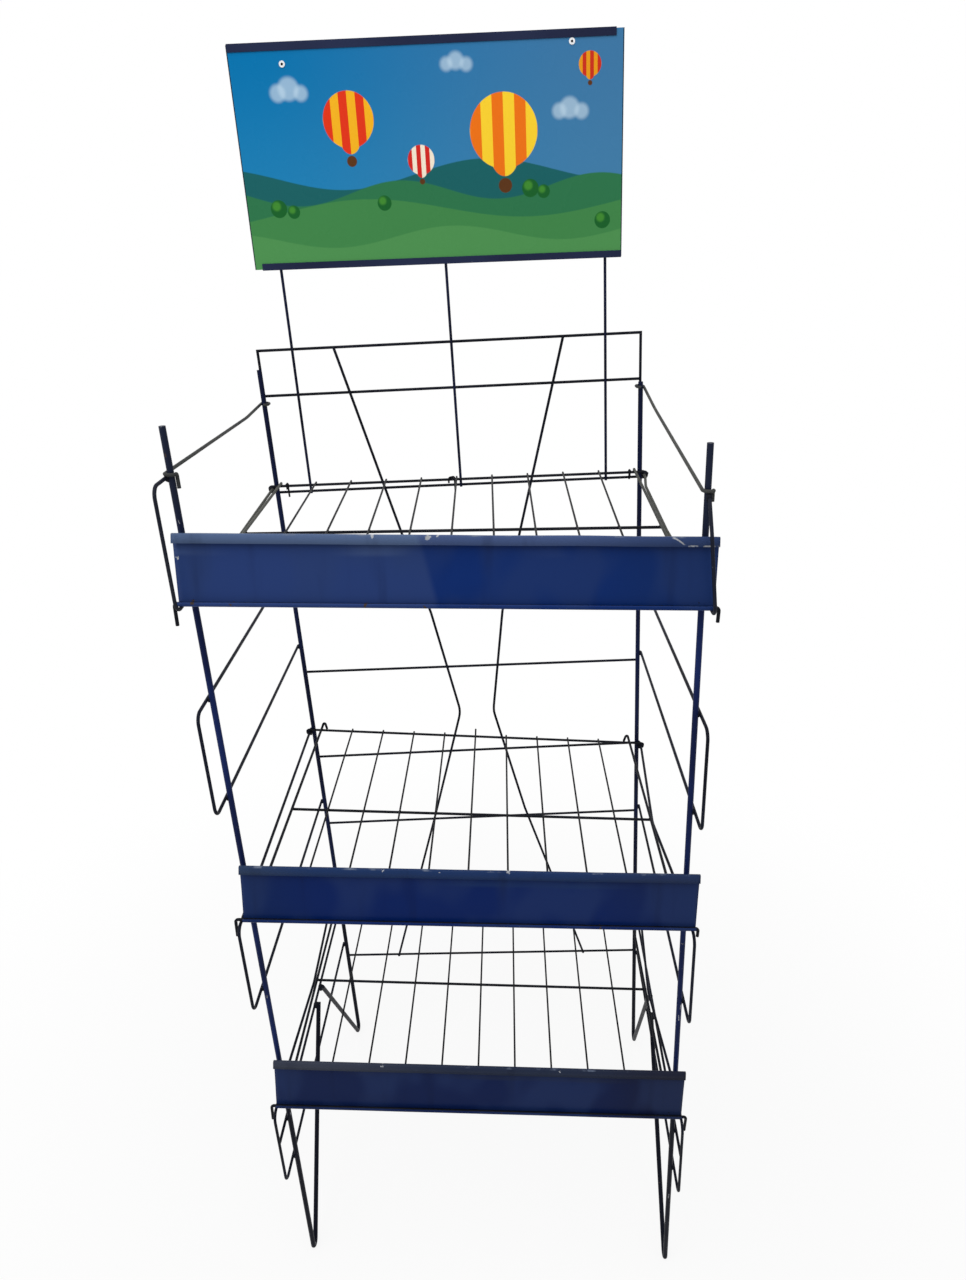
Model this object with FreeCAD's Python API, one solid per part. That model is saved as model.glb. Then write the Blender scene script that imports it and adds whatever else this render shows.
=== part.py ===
import FreeCAD, Part
import math
import os

os.makedirs("parts", exist_ok=True)

Vec = FreeCAD.Vector

# Wire floor stand with a sign on top and three wire shelves, each with a sheet price rail.
# Millimetres and degrees. The floor is Z = 0, X runs to the right, Y to the back.
# The origin is on the floor, midway between the four posts.

# Stance of the four posts. The stand is racked: its posts lean to the left going up.
post_spacing = 500.0
post_depth = 400.0
front_post_height = 1163.0
rear_post_height = 1160.0
lean_front = 3.56
lean_rear = 4.33

# Stock that the stand is bent from
rod_d = 6.4
wire_d = 3.6
grid_d = 2.5
sheet_t = 0.8
weld_gap = 0.15

# Foot: each post is bent back up at the floor to the foot rail
foot_bend_r = 7.0
foot_rail_up = 265.0
front_toe_back = 192.0
rear_toe_back = 228.0
toe_stub = 5.0
leg_inset = 0.6
settling_rounds = 30

# Side hoops: the height of each hoop's lower wire, and the hoops' shared size
hoop_low = {"top": 994.0, "upper": 762.0, "middle": 489.0, "lower": 194.0}
hoop_height = 121.0
hoop_reach = 38.0
hoop_bend_r = 11.0
hoop_past_post = 4.0
top_stub_back = 9.0

# Where a hoop's wire has been knocked up from the heights above, and by how much
hoop_slip = {
    "top_left_lower_rear": 8.0,
    "top_right_lower_front": 12.0,
    "top_right_lower_rear": 45.0,
    "upper_right_lower_rear": 7.0,
    "middle_left_upper_front": 1.0,
    "middle_left_upper_rear": 10.0,
    "middle_right_lower_rear": 9.0,
    "middle_right_upper_front": 9.0,
    "middle_right_upper_rear": 4.0,
    "lower_left_upper_rear": 2.0,
    "lower_right_lower_rear": 2.0,
    "lower_right_upper_front": 3.0,
    "lower_right_upper_rear": 3.0,
}

# The top right hoop's front is bent back at a knee, and ends on the front of the post
knee_reach = 33.0
knee_up = 1084.0
knee_inward = 6.7
knee_end_reach = 4.7
knee_end_up = 1113.0
knee_end_inward = 4.2

# Hoop wires that carry a shelf are drawn in between the posts: how far back, and by how much
hoop_draw = {
    "top_left": [(14.0, 0.0), (187.0, 3.5), (384.0, 0.0)],
    "top_right": [(14.0, 0.0), (187.0, 6.2), (345.0, 5.5), (384.0, 0.0)],
    "middle_right": [(14.0, 0.0), (187.0, 13.0), (384.0, 0.0)],
    "lower_left": [(14.0, 0.0), (187.0, 6.4), (384.0, 0.0)],
    "lower_right": [(14.0, 0.0), (187.0, 12.0), (384.0, 0.0)],
}
draw_bend_r = 100.0

# Top braces, which sag a little, with their eyes round the posts
brace_drop = 9.0
brace_tail = {"left": 14.0, "right": 11.0}
brace_sag = {"left": 4.0, "right": 7.0}
brace_sag_back = 320.0
brace_bend_r = 400.0
brace_clear = 0.3
tail_bend_r = 2.2
tail_back = 1.2
front_eye_bend_r = 3.9
eye_slack = 0.4

# Rear panel: the height of each bar's left end, from the top rim down to the bottom rim,
# and how much higher than that the right ends of the crooked ones are
bar_up = {"1": 1183.0, "2": 1125.0, "3": 994.0, "4": 716.0, "5": 567.0, "6": 441.0, "7": 162.0}
bar_rise = {"5": 6.0, "6": 6.0, "7": -6.0}
bar_end = 2.0

# The panel's two curved wires: their bends' heights, and how far in from the sides they are
curve_up = {"shoulder": 805.0, "waist": 641.0, "hip": 462.0}
curve_inset = {"rim": 100.0, "shoulder": 197.0, "hip": 178.0, "foot": 88.0}
waist_inset = {"left": 229.0, "right": 219.0}
curve_bend_r = 45.0

# Header and sign
upright_inset = 25.3
middle_upright_shift = 4.5
sign_bottom_up = 1277.0
sign_top_up = 1519.0
board_width = 458.0
board_t = 3.0
board_shift = -4.0
board_gap = 0.3
sign_rail_width = 448.0
top_rail_shift = -8.0
bottom_rail_shift = 0.5
top_flange = 8.5
bottom_flange = 8.0
sign_turn = 0.7
eyelet_across = {"left": -165.9, "right": 169.3}
eyelet_drop = {"left": 22.0, "right": 12.2}
eyelet_flange_d = 7.0
eyelet_flange_t = 0.7
eyelet_barrel_d = 4.6
eyelet_hole_d = 2.8
eyelet_hole_deep = 2.6
eyelet_gap = 0.1

# Shelves
front_wire_behind_bend = 1.0
mid_wire_back = 187.0
side_wire_clear = 1.0
grid_wire_count = 9
mid_wire_overhang = 2.5
rear_overhang = 1.2
hook_tail = 18.0
short_hook_tails = {"top_right": 10.0, "middle_right": 6.0}
hook_out = 5.5
hook_return = 3.0

# How far in from its usual place a shelf's outermost wire is, at its front and its rear end
drawn_in = {
    "top_left": (1.0, 1.0),
    "top_right": (1.5, 1.5),
    "middle_left": (1.5, 7.0),
    "middle_right": (3.0, 6.5),
    "bottom_left": (0.0, 0.0),
    "bottom_right": (4.0, 7.5),
}

# The top shelf's rear hooks: how far in from the left hoop, and how far askew on the rear wire
rear_hook_inset = 16.0
middle_hook_inset = 242.0
middle_hook_askew = 7.6
rear_hook_drop = 16.0
right_hook_drop = 10.0
rear_hook_front = 4.0

# The lower two shelves: their side wires end in a peak at the back, and their middle wire in a tip
peak_past_wire = 2.0
peak_up = 11.5
peak_half_width = 4.0
peak_bend_r = 2.6
peak_top_r = 2.0
peak_end_drop = 1.2
tip_up = 8.0

# Price rail: a sheet strip that leans back, with a lip folded forward and down at its top
# and a bead folded forward round the shelf's front wire at its foot
rail_height = 71.0
rail_overhang = {"top": 6.5, "middle": 5.0, "bottom": 5.0}
rail_shift = {"top": 0.0, "middle": 3.0, "bottom": 0.0}
rail_tilt = 7.0
rail_gap = 0.9
hem_gap = 0.3
hem_return = 2.0
fold_r = 1.2
lip_top = 3.5
lip_reach = 5.5
lip_fall = 8.7

SIDES = {"left": -1, "right": 1}
LEVELS = ["top", "upper", "middle", "lower"]
HOOP_CORNERS = ["lower_front", "lower_rear", "upper_front", "upper_rear"]

# A wire laid against a post, and a wire laid across another wire
post_wire_offset = (rod_d + wire_d) / 2 + weld_gap
wire_wire_offset = wire_d + weld_gap
panel_width = post_spacing * math.cos(math.radians(lean_rear))
panel_rise = post_spacing * math.sin(math.radians(lean_rear))
hoop_rear_back = post_depth + hoop_past_post
front_wire_back = front_wire_behind_bend + hoop_bend_r - hoop_reach
rear_wire_back = post_depth - post_wire_offset

# The price rail's bead, from the front wire's axis to the sheet's mid-plane and to its outside
bead_r = wire_d / 2 + hem_gap + sheet_t / 2
bead_outer = bead_r + sheet_t / 2
front_seat = wire_d / 2 + weld_gap + bead_outer
rail_back_face = front_wire_back + bead_outer / math.cos(math.radians(rail_tilt)) + rail_gap


def side_point(side, back, up, out=0.0):
    """A point of a side frame: back from the front post, up along the posts, out from their plane."""
    lean = math.radians(lean_front + (lean_rear - lean_front) * back / post_depth)
    x = side * (post_spacing / 2 + out) - math.sin(lean) * up
    return Vec(x, back - post_depth / 2, math.cos(lean) * up)


def panel_point(across, up, behind):
    """A point of the rear panel, which stays square to the leaning rear posts."""
    lean = math.radians(lean_rear)
    foot = side_point(-1, post_depth, 0.0)
    x = foot.x + across * math.cos(lean) - up * math.sin(lean)
    z = across * math.sin(lean) + up * math.cos(lean)
    return Vec(x, foot.y + behind, z)


def hoop_corners(name, level):
    """The straight ends of a hoop's wires, in the order of HOOP_CORNERS."""
    corners = []
    for corner in HOOP_CORNERS:
        back = hoop_rear_back if corner.endswith("rear") else -hoop_reach
        up = hoop_low[level] + (hoop_height if corner.startswith("upper") else 0.0)
        up += hoop_slip.get(level + "_" + name + "_" + corner, 0.0)
        corners.append(side_point(SIDES[name], back, up, post_wire_offset))
    return corners


def bar_height(number, across):
    """How high a bar of the rear panel is at a distance across it."""
    return bar_up[number] + bar_rise.get(number, 0.0) * across / panel_width


def rounded_path(points, radii):
    """Straight runs from point to point, with a tangent arc at each corner.
    The radii are one number for all corners, or a list with one for each."""
    if not isinstance(radii, list):
        radii = [radii] * (len(points) - 2)
    edges = []
    start = points[0]
    for before, corner, after, radius in zip(points, points[1:], points[2:], radii):
        to_before = (before - corner).normalize()
        to_after = (after - corner).normalize()
        half = to_before.getAngle(to_after) / 2
        cut = radius / math.tan(half)
        arc_in = corner + to_before * cut
        arc_out = corner + to_after * cut
        inward = (to_before + to_after).normalize()
        arc_mid = corner + inward * (radius / math.sin(half) - radius)
        edges.append(Part.LineSegment(start, arc_in).toShape())
        edges.append(Part.Arc(arc_in, arc_mid, arc_out).toShape())
        start = arc_out
    edges.append(Part.LineSegment(start, points[-1]).toShape())
    return Part.Wire(edges)


def bent_wire(points, radii, diameter):
    """A round wire bent along the points."""
    path = rounded_path(points, radii)
    section = Part.Wire(Part.makeCircle(diameter / 2, points[0], points[1] - points[0]))
    return path.makePipeShell([section], True, False)


def straight_wire(start, end, diameter):
    """A straight round wire."""
    return Part.makeCylinder(diameter / 2, start.distanceToPoint(end), start, end - start)


def bent_sheet(points, radius, width):
    """A sheet strip of the given width along X, folded along the points, which lie in a Y-Z plane."""
    path = rounded_path(points, radius)
    along = Vec(width / 2, 0, 0)
    normal = Vec(1, 0, 0).cross(points[1] - points[0]).normalize() * (sheet_t / 2)
    corners = [along + normal, along - normal, normal * -1 - along, normal - along]
    ring = [points[0] + c for c in corners]
    section = Part.makePolygon(ring + [ring[0]])
    return path.makePipeShell([section], True, False)


def save(name, solids):
    """Write one node. Several like pieces share a node as separate solids."""
    shape = solids[0] if len(solids) == 1 else Part.makeCompound(solids)
    shape.exportStep("parts/" + name + ".step")


def post(side, back, height, toe_back):
    """One rod: the post, the bend that stands on the floor, and the leg back up to the foot rail."""
    base = side_point(side, back, 0.0)
    top = side_point(side, back, height)
    rail = side_point(side, toe_back, foot_rail_up, -leg_inset)
    up = (top - base).normalize()
    rail_up = (rail - base).dot(up)
    ahead = rail - base - up * rail_up
    rail_run = ahead.Length
    ahead.normalize()
    tilt = math.acos(up.z)
    bend_centre = foot_bend_r + rod_d / 2 / math.cos(tilt)
    vertex = 0.0
    for _ in range(settling_rounds):
        opening = math.atan2(rail_run, rail_up - vertex)
        vertex = bend_centre - foot_bend_r / math.tan(opening / 2)
    corner = base + up * vertex
    toe = base + ahead * rail_run + up * rail_up
    toe_end = toe + (toe - corner).normalize() * toe_stub
    return bent_wire([top, corner, toe_end], foot_bend_r, rod_d)


def between_corners(front, rear, back):
    """A point of the straight line between a hoop wire's two ends."""
    return front + (rear - front) * ((back + hoop_reach) / (hoop_rear_back + hoop_reach))


def hoop(name, level):
    """A side hoop outside the posts: lower wire, front upright and upper wire."""
    side = SIDES[name]
    lower_front, lower_rear, upper_front, upper_rear = hoop_corners(name, level)
    high = hoop_low[level] + hoop_height
    lower = [lower_front]
    upper = [upper_front]
    if level == "top" and name == "left":
        upper = [side_point(side, -hoop_reach, high, post_wire_offset)]
        upper_rear = side_point(side, top_stub_back, high, post_wire_offset)
    elif level == "top":
        upper = [side_point(side, -knee_reach, knee_up, post_wire_offset - knee_inward)]
        upper_rear = side_point(side, -knee_end_reach, knee_end_up, post_wire_offset - knee_end_inward)
    radii = [hoop_bend_r] * (len(lower) + len(upper))
    if level + "_" + name in hoop_draw:
        front, rear = (lower_front, lower_rear) if level == "top" else (upper_front, upper_rear)
        drawn = [between_corners(front, rear, back) + Vec(-side * inward, 0, 0)
                 for back, inward in hoop_draw[level + "_" + name]]
        drawn_radii = [draw_bend_r] * len(drawn)
        if level == "top":
            lower = drawn[::-1] + lower
            radii = drawn_radii + radii
        else:
            upper = upper + drawn
            radii = radii + drawn_radii
    return bent_wire([lower_rear] + lower + upper + [upper_rear], radii, wire_d)


def brace(name):
    """The wire between the post tops, with a hooked eye round the front and the rear post.
    The rear eye also holds the panel's side wire. The right one's front eye is bent the other
    way round, so that its tail hangs outside the post."""
    side = SIDES[name]
    front_up = hoop_low["top"] + hoop_height + wire_wire_offset + brace_clear
    rear_up = bar_up["2"] - brace_drop + (panel_rise if side > 0 else 0.0)
    r = post_wire_offset
    behind_panel = post_depth + 2 * r
    tail_out, run_out = (-r, r) if name == "left" else (r, -r - brace_clear)
    straight_up = front_up + (rear_up - front_up) * brace_sag_back / behind_panel
    points = [
        side_point(side, tail_back, front_up - brace_tail[name], tail_out),
        side_point(side, tail_back, front_up, tail_out),
        side_point(side, -r, front_up, tail_out),
        side_point(side, -r, front_up, run_out),
        side_point(side, brace_sag_back, straight_up - brace_sag[name], r),
        side_point(side, behind_panel, rear_up, r),
        side_point(side, behind_panel, rear_up, -r),
        side_point(side, post_depth - r, rear_up, -r),
        side_point(side, post_depth - r, rear_up, 0.0),
    ]
    rear_eye = [r - eye_slack] * 3
    radii = [tail_bend_r, front_eye_bend_r, r - eye_slack, brace_bend_r] + rear_eye
    return bent_wire(points, radii, wire_d)


def foot_rail(side):
    """The straight wire that both legs of a side end on."""
    front = -hoop_reach + wire_d / 2 + weld_gap
    start = side_point(side, front, foot_rail_up, post_wire_offset)
    end = side_point(side, hoop_rear_back, foot_rail_up, post_wire_offset)
    return straight_wire(start, end, wire_d)


def panel_bar(number):
    """A cross bar of the rear panel, welded behind the panel's upright wires."""
    behind = post_wire_offset + wire_wire_offset
    start, end = [panel_point(across, bar_height(number, across), behind)
                  for across in (-bar_end, panel_width + bar_end)]
    return straight_wire(start, end, wire_d)


def panel_side(side):
    """The panel's side wire, which stands against the back of the rear post."""
    across = panel_width if side > 0 else 0.0
    start = panel_point(across, bar_height("7", across) - bar_end, post_wire_offset)
    end = panel_point(across, bar_height("1", across) + bar_end, post_wire_offset)
    return straight_wire(start, end, wire_d)


def panel_curve(name):
    """One of the two curved wires that draw together at the panel's waist."""
    insets = dict(curve_inset, waist=waist_inset[name])
    across = {bend: panel_width - inset if name == "right" else inset for bend, inset in insets.items()}
    ups = dict(curve_up, rim=bar_height("1", across["rim"]), foot=bar_height("7", across["foot"]))
    bends = ["rim", "shoulder", "waist", "hip", "foot"]
    points = [panel_point(across[bend], ups[bend], post_wire_offset) for bend in bends]
    return bent_wire(points, curve_bend_r, wire_d)


def header_upright(offset):
    """An upright from the third bar to the sign's top rail, in line with the panel's side wires."""
    across = panel_width / 2 + offset
    start = panel_point(across, bar_height("3", across) - bar_end, post_wire_offset)
    end = panel_point(across, sign_top_up - bar_end, post_wire_offset)
    return straight_wire(start, end, wire_d)


def in_panel(solid):
    """Turn a piece of the sign, drawn upright at the left rear post's foot, into its place.
    The sign is turned a little on its uprights, about its middle."""
    foot = side_point(-1, post_depth, 0.0)
    middle = Vec(panel_width / 2 + board_shift, 0, (sign_bottom_up + sign_top_up) / 2)
    solid.rotate(middle, Vec(0, 1, 0), sign_turn)
    solid.rotate(Vec(0, 0, 0), Vec(0, 1, 0), -lean_rear)
    solid.translate(foot)
    return solid


sign_back = post_wire_offset - wire_d / 2 - weld_gap
sign_rail_depth = board_t + 2 * board_gap + 2 * sheet_t
board_back = sign_back - sheet_t - board_gap


def sign_rail(shift, web_up, flange, opens_up):
    """A U channel of sheet that holds the board's top or bottom edge."""
    left = panel_width / 2 + shift - sign_rail_width / 2
    low = web_up if opens_up else web_up - flange
    corner = Vec(left, sign_back - sign_rail_depth, low)
    channel = Part.makeBox(sign_rail_width, sign_rail_depth, flange, corner)
    slot_low = low + sheet_t if opens_up else low
    slot_corner = Vec(left, corner.y + sheet_t, slot_low)
    slot = Part.makeBox(sign_rail_width, sign_rail_depth - 2 * sheet_t, flange - sheet_t, slot_corner)
    return in_panel(channel.cut(slot))


def eyelet_places():
    """The two eyelets' centres, across and up in the panel's plane."""
    middle = panel_width / 2 + board_shift
    return [(middle + eyelet_across[name], sign_top_up - eyelet_drop[name]) for name in SIDES]


def sign_board():
    """The printed board, with a hole for each eyelet."""
    left = panel_width / 2 + board_shift - board_width / 2
    low = sign_bottom_up + sheet_t + board_gap
    high = sign_top_up - sheet_t - board_gap
    board = Part.makeBox(board_width, board_t, high - low, Vec(left, board_back - board_t, low))
    hole_r = eyelet_barrel_d / 2 + eyelet_gap
    for across, up in eyelet_places():
        centre = Vec(across, board_back - board_t, up)
        board = board.cut(Part.makeCylinder(hole_r, board_t, centre, Vec(0, 1, 0)))
    return in_panel(board)


def sign_eyelet(across, up):
    """A flanged eyelet through the board, hollow from the front and closed at the back."""
    front = board_back - board_t - eyelet_gap - eyelet_flange_t
    length = board_t + 2 * eyelet_gap + 2 * eyelet_flange_t
    toward_back = Vec(0, 1, 0)
    place = Vec(across, front, up)
    back_place = place + toward_back * (length - eyelet_flange_t)
    eyelet = Part.makeCylinder(eyelet_barrel_d / 2, length, place, toward_back)
    for flange_place in (place, back_place):
        flange = Part.makeCylinder(eyelet_flange_d / 2, eyelet_flange_t, flange_place, toward_back)
        eyelet = eyelet.fuse(flange)
    hole = Part.makeCylinder(eyelet_hole_d / 2, eyelet_hole_deep, place, toward_back)
    return in_panel(eyelet.cut(hole).removeSplitter())


class Shelf:
    """A wire shelf that hangs on one hoop wire at each side. Its front and its rear wire hook over
    those wires, and its middle wire only joins the lengthwise wires."""

    def __init__(self, name, level, on_upper_wire):
        self.name = name
        self.carriers = {}
        for side_name, side in SIDES.items():
            corners = hoop_corners(side_name, level)
            self.carriers[side] = corners[2:] if on_upper_wire else corners[:2]

    def cross_frame(self, back):
        """The carriers' axes at this distance back, and the directions along and square to them."""
        left = between_corners(*self.carriers[-1], back)
        right = between_corners(*self.carriers[1], back)
        along = (right - left).normalize()
        return left, right, along, Vec(-along.z, 0, along.x)

    def cross_wire(self, back, left_points, right_points):
        """A wire from side to side above the carriers. Its ends are bent round the hoop wires."""
        left, right, along, up = self.cross_frame(back)
        left_half = [left - along * x + up * z for x, z in left_points]
        right_half = [right + along * x + up * z for x, z in right_points]
        return bent_wire(left_half[::-1] + right_half, wire_wire_offset - eye_slack, wire_d)

    def rear_wire(self):
        """The cross wire that lies on the hoop wires, with its ends hooked under them."""
        r = wire_wire_offset
        hooked = [(r, r), (r, -r), (-hook_return, -r)]
        return self.cross_wire(rear_wire_back, hooked, hooked)

    def front_wire(self):
        """The cross wire in the price rail's bead. Its ends hang down outside the hoop wires."""
        halves = []
        for name in SIDES:
            tail = short_hook_tails.get(self.name + "_" + name, hook_tail)
            halves.append([(hook_out, front_seat), (hook_out, -tail)])
        return self.cross_wire(front_wire_back, halves[0], halves[1])

    def lengthwise_ends(self, share, diameter):
        """The axis of a wire from the price rail to the rear wire, at a share of the way across."""
        ends = []
        rear_end_back = rear_wire_back + rear_overhang
        lean_shift = math.tan(math.radians(lean_rear)) * 2 * wire_wire_offset
        inset = 2 * post_wire_offset + side_wire_clear + lean_shift
        places = ((rail_back_face, front_seat), (rear_end_back, wire_wire_offset))
        for end, (back, seat) in enumerate(places):
            left, right, along, up = self.cross_frame(back)
            left_inset = inset + drawn_in[self.name + "_left"][end]
            right_inset = inset + drawn_in[self.name + "_right"][end]
            reach = (right - left).Length - left_inset - right_inset
            over = seat + (wire_d + diameter) / 2 + weld_gap
            ends.append(left + along * (left_inset + reach * share) + up * over)
        return ends

    def mid_wire(self):
        """The middle cross wire, under the lengthwise wires, with its ends just past the outermost."""
        left, right, along, up = self.cross_frame(mid_wire_back)
        ends = []
        for share, outward in ((0.0, -1), (1.0, 1)):
            front, rear = self.lengthwise_ends(share, wire_d)
            crossing = front + (rear - front) * ((mid_wire_back - rail_back_face) / (rear.y - front.y))
            ends.append(crossing + along * (outward * mid_wire_overhang) - up * wire_wire_offset)
        return straight_wire(ends[0], ends[1], wire_d)

    def side_wire(self, side):
        """An outermost lengthwise wire. On the lower two shelves its end rises to a peak behind the
        rear wire and comes down onto that wire."""
        front, rear = self.lengthwise_ends(0.0 if side < 0 else 1.0, wire_d)
        if self.name == "top":
            return straight_wire(front, rear, wire_d)
        left, right, along, up = self.cross_frame(rear_wire_back)
        step_in = along * (-side * peak_half_width)
        over_wire = rear + Vec(0, rear_wire_back - post_depth / 2 - rear.y, 0)
        foot = over_wire + Vec(0, peak_past_wire, 0)
        peak = foot + step_in + up * peak_up
        end = over_wire + step_in * 2 - up * peak_end_drop
        return bent_wire([front, foot, peak, end], [peak_bend_r, peak_top_r], wire_d)

    def grid_wire(self, number):
        """A thin lengthwise wire. On the lower two shelves the middle one's end is turned up."""
        front, rear = self.lengthwise_ends(number / (grid_wire_count + 1), grid_d)
        if self.name == "top" or number != (grid_wire_count + 1) // 2:
            return straight_wire(front, rear, grid_d)
        left, right, along, up = self.cross_frame(rear_wire_back)
        foot = rear + Vec(0, peak_past_wire, 0)
        return bent_wire([front, foot, foot + up * tip_up], peak_bend_r, grid_d)

    def rear_hook(self, inset, askew, drop):
        """A small hook of thin wire over the rear wire, with a leg that hangs down behind it."""
        left, right, along, up = self.cross_frame(rear_wire_back)
        axis = left + along * (post_wire_offset + inset) + up * wire_wire_offset
        r = (wire_d + grid_d) / 2 + weld_gap
        sides = [(-r, -rear_hook_front), (-r, r), (r, r), (r, -drop)]
        points = [axis + along * (math.copysign(askew / 2, y)) + Vec(0, y, 0) + up * z for y, z in sides]
        return bent_wire(points, r - eye_slack, grid_d)

    def price_rail(self):
        """The sheet strip: bead round the front wire, face behind the wire, and the lip at the top."""
        left, right, along, up = self.cross_frame(front_wire_back)
        top = rail_height - bead_outer - sheet_t / 2
        middle = top / 2
        bead = [(-bead_r, hem_return), (-bead_r, -bead_r), (bead_r, -bead_r), (bead_r, middle)]
        lip = [(bead_r - lip_top, top), (bead_r - lip_reach, top - lip_fall)]
        face = [(bead_r, middle), (bead_r, top)] + lip
        width = post_spacing + 2 * rail_overhang[self.name]
        shift = rail_shift[self.name]
        lower = bent_sheet([Vec(shift, y, z) for y, z in bead], bead_r - hem_gap / 2, width)
        upper = bent_sheet([Vec(shift, y, z) for y, z in face], fold_r, width)
        strip = lower.fuse(upper).removeSplitter()
        strip.rotate(Vec(0, 0, 0), Vec(1, 0, 0), -rail_tilt)
        strip.rotate(Vec(0, 0, 0), Vec(0, 1, 0), -math.degrees(math.atan2(along.z, along.x)))
        strip.translate((left + right) / 2 + up * front_seat)
        return strip


for name, side in SIDES.items():
    save("post_front_" + name, [post(side, 0.0, front_post_height, front_toe_back)])
    save("post_rear_" + name, [post(side, post_depth, rear_post_height, rear_toe_back)])
    for level in LEVELS:
        save(level + "_hoop_" + name, [hoop(name, level)])
    save("top_brace_" + name, [brace(name)])
    save("foot_rail_" + name, [foot_rail(side)])
    save("panel_side_" + name, [panel_side(side)])
    save("panel_curve_" + name, [panel_curve(name)])

for number in bar_up:
    save("panel_bar_" + number, [panel_bar(number)])

upright_offset = board_width / 2 - upright_inset
upright_offsets = {"left": -upright_offset, "middle": middle_upright_shift, "right": upright_offset}
for name, offset in upright_offsets.items():
    save("header_upright_" + name, [header_upright(offset)])

save("sign_top_rail", [sign_rail(top_rail_shift, sign_top_up, top_flange, False)])
save("sign_bottom_rail", [sign_rail(bottom_rail_shift, sign_bottom_up, bottom_flange, True)])
save("sign_board", [sign_board()])
save("sign_eyelets", [sign_eyelet(across, up) for across, up in eyelet_places()])

shelves = [Shelf("top", "top", False), Shelf("middle", "middle", True), Shelf("bottom", "lower", True)]
for shelf in shelves:
    start = shelf.name + "_shelf_"
    save(start + "rear_wire", [shelf.rear_wire()])
    save(start + "mid_wire", [shelf.mid_wire()])
    save(start + "front_wire", [shelf.front_wire()])
    save(start + "side_wires", [shelf.side_wire(side) for side in SIDES.values()])
    save(start + "grid_wires", [shelf.grid_wire(number) for number in range(1, grid_wire_count + 1)])
    save(start + "price_rail", [shelf.price_rail()])

hooks = [
    (rear_hook_inset, 0.0, rear_hook_drop),
    (middle_hook_inset, middle_hook_askew, rear_hook_drop),
    (post_spacing - rear_hook_inset, 0.0, right_hook_drop),
]
save("top_shelf_rear_hooks", [shelves[0].rear_hook(*hook) for hook in hooks])
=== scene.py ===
"""Looks for a blue wire display stand: three wire shelves with price rails, and a sign on top."""
import math

import bmesh
import bpy
from mathutils import Matrix, Vector, noise


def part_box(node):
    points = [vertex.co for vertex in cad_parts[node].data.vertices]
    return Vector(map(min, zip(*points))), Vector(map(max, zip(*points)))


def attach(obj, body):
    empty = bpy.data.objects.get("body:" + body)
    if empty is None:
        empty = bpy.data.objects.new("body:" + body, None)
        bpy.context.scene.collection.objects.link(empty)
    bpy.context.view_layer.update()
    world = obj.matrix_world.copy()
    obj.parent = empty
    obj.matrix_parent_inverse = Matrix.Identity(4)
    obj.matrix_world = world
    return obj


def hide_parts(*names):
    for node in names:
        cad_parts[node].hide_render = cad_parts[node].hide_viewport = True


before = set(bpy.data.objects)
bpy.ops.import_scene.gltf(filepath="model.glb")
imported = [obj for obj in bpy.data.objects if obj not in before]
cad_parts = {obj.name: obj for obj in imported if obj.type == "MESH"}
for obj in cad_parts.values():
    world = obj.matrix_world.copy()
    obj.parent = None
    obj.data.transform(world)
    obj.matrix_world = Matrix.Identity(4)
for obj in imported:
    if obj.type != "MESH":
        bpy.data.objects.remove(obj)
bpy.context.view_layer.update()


# The four posts are steel rod, each bent back up at the floor into its own leg. They were
# painted navy after welding, and the paint of the front ones is chipped to primer and steel.
class Finish:
    """One paint, metal or print, worked out from the place on the piece."""

    def __init__(self, name):
        self.material = bpy.data.materials.new(name)
        self.material.use_nodes = True
        self.tree = self.material.node_tree
        self.shader = self.tree.nodes["Principled BSDF"]
        self.place = self.node("ShaderNodeTexCoord").outputs["Object"]

    def node(self, kind, inputs=(), **settings):
        """A new node with its settings, and with its inputs set or linked."""
        made = self.tree.nodes.new(kind)
        for name, value in settings.items():
            setattr(made, name, value)
        for key, value in dict(inputs).items():
            self.feed(made.inputs[key], value)
        return made

    def feed(self, socket, value):
        """Link a socket, or set its value."""
        if isinstance(value, bpy.types.NodeSocket):
            self.tree.links.new(value, socket)
        else:
            socket.default_value = value

    def stretched(self, scale):
        """The place on the piece, with a pattern drawn out where the scale is small."""
        return self.node("ShaderNodeMapping", {"Vector": self.place, "Scale": scale}).outputs[0]

    def mottle(self, scale, detail=2.0, place=None):
        """Soft random patches."""
        inputs = {"Vector": place or self.place, "Scale": scale, "Detail": detail}
        return self.node("ShaderNodeTexNoise", inputs).outputs["Fac"]

    def step(self, value, low, high):
        """0 below low, 1 above high."""
        inputs = {"Value": value, "From Min": low, "From Max": high}
        eased = self.node("ShaderNodeMapRange", inputs, interpolation_type="SMOOTHSTEP")
        return eased.outputs["Result"]

    def sum(self, operation, first, second=0.0):
        """One sum on two numbers."""
        return self.node("ShaderNodeMath", {0: first, 1: second}, operation=operation).outputs[0]

    def mix(self, share, under, over):
        """One colour laid over another."""
        return self.node("ShaderNodeMix", {0: share, 6: under, 7: over}, data_type="RGBA").outputs[2]

    def relief(self, height, distance):
        """Small height differences of the surface."""
        bump = self.node("ShaderNodeBump", {"Height": height, "Distance": distance})
        self.feed(self.shader.inputs["Normal"], bump.outputs["Normal"])


bare_steel = (0.33, 0.34, 0.36, 1)
pale_primer = (0.36, 0.38, 0.42, 1)
rust = (0.050, 0.034, 0.026, 1)
wire_paint_thick = 0.00015
wire_specular = 0.07


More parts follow.
